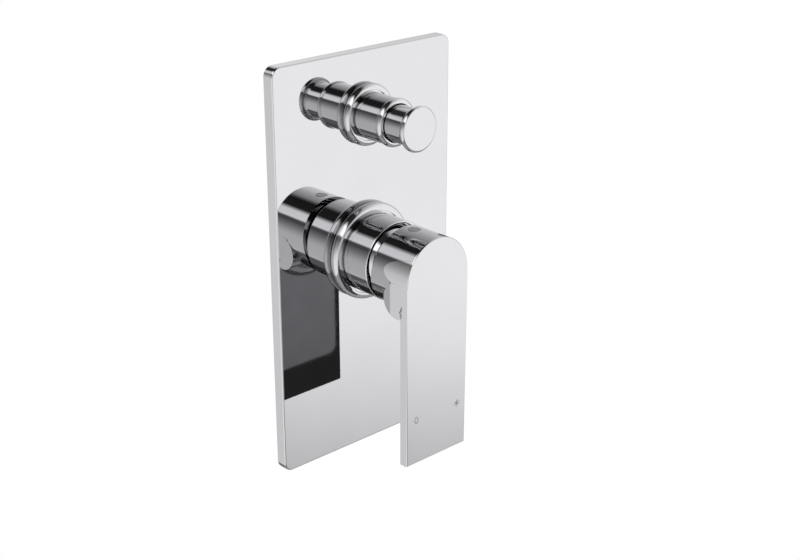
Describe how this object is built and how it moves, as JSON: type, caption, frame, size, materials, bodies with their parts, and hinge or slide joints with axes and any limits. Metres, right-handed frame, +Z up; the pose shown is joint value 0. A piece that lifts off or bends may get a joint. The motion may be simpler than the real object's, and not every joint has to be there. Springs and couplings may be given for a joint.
{
  "type": "concealed bath mixer",
  "caption": "Wall-mounted concealed bath mixer: rectangular trim plate with a single lever that lifts and turns, and a push-pull diverter knob above it.",
  "frame": {"origin": "mixer axis where it crosses the finished wall plane", "axes": "+Z up, +Y into the wall, +X to the right for someone facing the plate"},
  "size_m": [0.112, 0.0979, 0.208],
  "materials": {
    "polished_chrome": "mirror-polished chrome plate",
    "brass": "cast and machined brass",
    "black_rubber": "black rubber",
    "cartridge_plastic": "moulded plastic",
    "stainless_steel": "turned stainless steel",
    "ceramic": "ground ceramic"
  },
  "bodies": {
    "base": {"trim_plate": "polished_chrome", "plate_seal": "black_rubber", "mixer_collar_ring": "polished_chrome", "mixer_sleeve": "polished_chrome", "mixer_sleeve_oring": "black_rubber", "diverter_collar_ring": "polished_chrome", "diverter_sleeve": "polished_chrome", "diverter_sleeve_oring": "black_rubber", "valve_body": "brass", "body_screw_left": "stainless_steel", "body_screw_right": "stainless_steel", "cartridge_base_seal": "black_rubber", "cartridge_housing": "cartridge_plastic", "fixed_ceramic_disc": "ceramic", "cartridge_nut": "brass", "cartridge_cap": "polished_chrome", "diverter_bonnet": "brass", "bonnet_stem_oring": "black_rubber", "diverter_spring": "stainless_steel"},
    "rotor": {"cartridge_rotor": "cartridge_plastic", "lever_pivot_pin": "stainless_steel"},
    "lever": {"lever_handle": "polished_chrome", "lever_spindle": "stainless_steel", "lever_grub_screw": "stainless_steel", "index_plug": "black_rubber"},
    "disc": {"disc_carrier": "cartridge_plastic", "moving_ceramic_disc": "ceramic"},
    "diverter": {"diverter_knob": "polished_chrome", "diverter_stem": "brass", "front_valve_disc": "brass", "front_valve_seal": "black_rubber", "rear_valve_disc": "brass", "rear_valve_seal": "black_rubber"}
  },
  "joints": [
    {"name": "lever_turn", "type": "hinge", "parent": "base", "child": "rotor", "pos_m": [0, -0.013, 0], "axis": [0, 1, 0], "range_deg": [-45, 45]},
    {"name": "lever_lift", "type": "hinge", "parent": "rotor", "child": "lever", "pos_m": [0, -0.013, 0], "axis": [-1, 0, 0], "range_deg": [0, 15]},
    {"name": "disc_slide", "type": "slide", "parent": "rotor", "child": "disc", "axis": [0, 0, -1], "range_m": [0, 0.0036]},
    {"name": "diverter_pull", "type": "slide", "parent": "base", "child": "diverter", "axis": [0, -1, 0], "range_m": [0, 0.006], "stiffness_N_per_m": 300, "springref_m": -0.004, "deforming": ["diverter_spring"]}
  ],
  "couplings": [
    {"joint": "disc_slide", "follows": "lever_lift", "m_per_rad": 0.0132}
  ]
}
